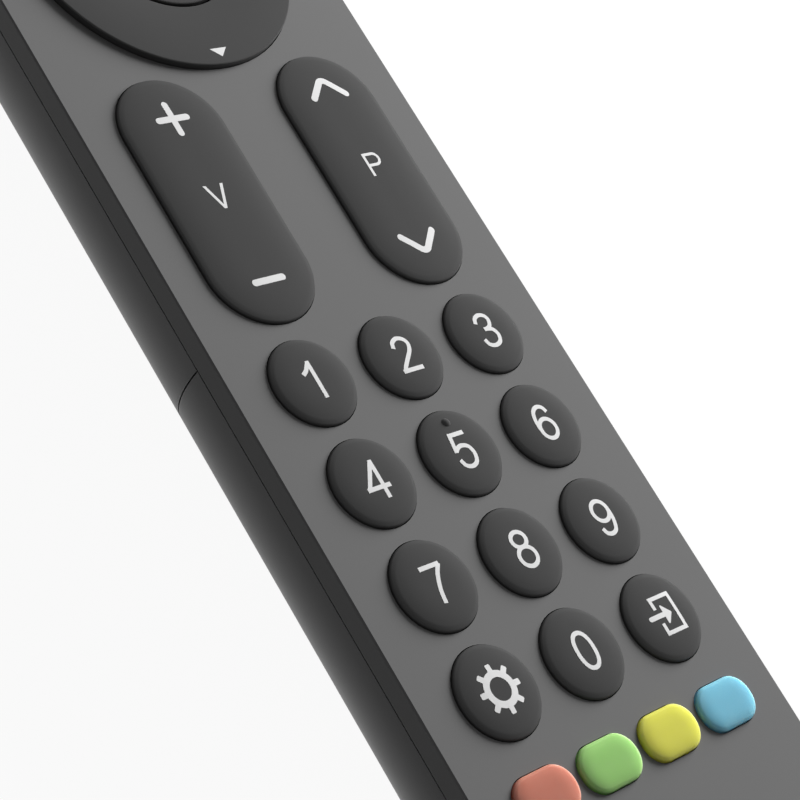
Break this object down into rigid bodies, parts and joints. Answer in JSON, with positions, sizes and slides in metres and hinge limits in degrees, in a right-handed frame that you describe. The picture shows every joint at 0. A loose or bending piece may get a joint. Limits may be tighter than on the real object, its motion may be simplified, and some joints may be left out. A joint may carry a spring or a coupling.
{
  "type": "universal remote control",
  "caption": "Handheld infrared remote control with number keys, coloured keys, two rockers, a ring with a centre key, and a sliding battery cover.",
  "frame": {"origin": "middle of the underside of the case, on the table that the remote lies on", "axes": "+Y runs along the case to its front (infrared) end, +Z rises out of the key face, +X is to the right with the front end away from the user"},
  "size_m": [0.0478, 0.18, 0.0212],
  "materials": {
    "housing": "fine matt moulding",
    "keys": "soft matt",
    "key_red": "soft matt",
    "key_green": "soft matt",
    "key_yellow": "soft matt",
    "key_blue": "soft matt",
    "window": "dark, glossy",
    "pivot": "natural moulding",
    "mat": "matt silicone",
    "board": "coated laminate",
    "chip": "moulded",
    "resonator": "dipped",
    "can": "plain can",
    "emitter": "clear resin",
    "cell": "satin sleeve",
    "contact_steel": "plated"
  },
  "bodies": {
    "case": {"top_housing": "housing", "bottom_housing": "housing", "ir_window": "window", "keypad_mat": "mat", "circuit_board": "board", "controller_chip": "chip", "resonator": "resonator", "capacitor": "can", "ir_emitter_left": "emitter", "ir_emitter_right": "emitter", "battery_left": "cell", "battery_right": "cell", "positive_terminal": "contact_steel", "negative_terminal": "contact_steel", "battery_bridge": "contact_steel", "battery_spring_front": "contact_steel", "battery_spring_rear": "contact_steel"},
    "key_1": {"key_1": "keys"},
    "key_2": {"key_2": "keys"},
    "key_3": {"key_3": "keys"},
    "key_4": {"key_4": "keys"},
    "key_5": {"key_5": "keys"},
    "key_6": {"key_6": "keys"},
    "key_7": {"key_7": "keys"},
    "key_8": {"key_8": "keys"},
    "key_9": {"key_9": "keys"},
    "key_settings": {"key_settings": "keys"},
    "key_0": {"key_0": "keys"},
    "key_input": {"key_input": "keys"},
    "key_power": {"key_power": "keys"},
    "key_red": {"key_red": "key_red"},
    "key_green": {"key_green": "key_green"},
    "key_yellow": {"key_yellow": "key_yellow"},
    "key_blue": {"key_blue": "key_blue"},
    "ok_button": {"ok_button": "keys"},
    "volume_rocker": {"volume_rocker": "keys"},
    "programme_rocker": {"programme_rocker": "keys"},
    "nav_ring": {"nav_ring": "keys"},
    "nav_pivot": {"nav_pivot": "pivot"},
    "battery_cover": {"battery_cover": "housing"}
  },
  "joints": [
    {"name": "key_1_press", "type": "slide", "parent": "case", "child": "key_1", "axis": [0, 0, -1], "range_m": [0, 0.0006], "stiffness_N_per_m": 1500},
    {"name": "key_2_press", "type": "slide", "parent": "case", "child": "key_2", "axis": [0, 0, -1], "range_m": [0, 0.0006], "stiffness_N_per_m": 1500},
    {"name": "key_3_press", "type": "slide", "parent": "case", "child": "key_3", "axis": [0, 0, -1], "range_m": [0, 0.0006], "stiffness_N_per_m": 1500},
    {"name": "key_4_press", "type": "slide", "parent": "case", "child": "key_4", "axis": [0, 0, -1], "range_m": [0, 0.0006], "stiffness_N_per_m": 1500},
    {"name": "key_5_press", "type": "slide", "parent": "case", "child": "key_5", "axis": [0, 0, -1], "range_m": [0, 0.0006], "stiffness_N_per_m": 1500},
    {"name": "key_6_press", "type": "slide", "parent": "case", "child": "key_6", "axis": [0, 0, -1], "range_m": [0, 0.0006], "stiffness_N_per_m": 1500},
    {"name": "key_7_press", "type": "slide", "parent": "case", "child": "key_7", "axis": [0, 0, -1], "range_m": [0, 0.0006], "stiffness_N_per_m": 1500},
    {"name": "key_8_press", "type": "slide", "parent": "case", "child": "key_8", "axis": [0, 0, -1], "range_m": [0, 0.0006], "stiffness_N_per_m": 1500},
    {"name": "key_9_press", "type": "slide", "parent": "case", "child": "key_9", "axis": [0, 0, -1], "range_m": [0, 0.0006], "stiffness_N_per_m": 1500},
    {"name": "key_settings_press", "type": "slide", "parent": "case", "child": "key_settings", "axis": [0, 0, -1], "range_m": [0, 0.0006], "stiffness_N_per_m": 1500},
    {"name": "key_0_press", "type": "slide", "parent": "case", "child": "key_0", "axis": [0, 0, -1], "range_m": [0, 0.0006], "stiffness_N_per_m": 1500},
    {"name": "key_input_press", "type": "slide", "parent": "case", "child": "key_input", "axis": [0, 0, -1], "range_m": [0, 0.0006], "stiffness_N_per_m": 1500},
    {"name": "key_power_press", "type": "slide", "parent": "case", "child": "key_power", "axis": [0, 0, -1], "range_m": [0, 0.0006], "stiffness_N_per_m": 1500},
    {"name": "key_red_press", "type": "slide", "parent": "case", "child": "key_red", "axis": [0, 0, -1], "range_m": [0, 0.0006], "stiffness_N_per_m": 1500},
    {"name": "key_green_press", "type": "slide", "parent": "case", "child": "key_green", "axis": [0, 0, -1], "range_m": [0, 0.0006], "stiffness_N_per_m": 1500},
    {"name": "key_yellow_press", "type": "slide", "parent": "case", "child": "key_yellow", "axis": [0, 0, -1], "range_m": [0, 0.0006], "stiffness_N_per_m": 1500},
    {"name": "key_blue_press", "type": "slide", "parent": "case", "child": "key_blue", "axis": [0, 0, -1], "range_m": [0, 0.0006], "stiffness_N_per_m": 1500},
    {"name": "ok_button_press", "type": "slide", "parent": "case", "child": "ok_button", "axis": [0, 0, -1], "range_m": [0, 0.0006], "stiffness_N_per_m": 1500},
    {"name": "volume_rocker_tip", "type": "hinge", "parent": "case", "child": "volume_rocker", "pos_m": [-0.01179, 0.01036, 0.0195], "axis": [1, 0, 0], "range_deg": [-2, 2], "stiffness_Nm_per_rad": 0.5},
    {"name": "programme_rocker_tip", "type": "hinge", "parent": "case", "child": "programme_rocker", "pos_m": [0.01179, 0.01036, 0.0195], "axis": [1, 0, 0], "range_deg": [-2, 2], "stiffness_Nm_per_rad": 0.5},
    {"name": "nav_tip_front_rear", "type": "hinge", "parent": "case", "child": "nav_pivot", "pos_m": [0, 0.04526, 0.0195], "axis": [1, 0, 0], "range_deg": [-2, 2], "stiffness_Nm_per_rad": 0.8},
    {"name": "nav_tip_left_right", "type": "hinge", "parent": "nav_pivot", "child": "nav_ring", "pos_m": [0, 0.04526, 0.0195], "axis": [0, 1, 0], "range_deg": [-2, 2], "stiffness_Nm_per_rad": 0.8},
    {"name": "battery_cover_slide", "type": "slide", "parent": "case", "child": "battery_cover", "axis": [0, -1, 0], "range_m": [0, 0.083]}
  ]
}
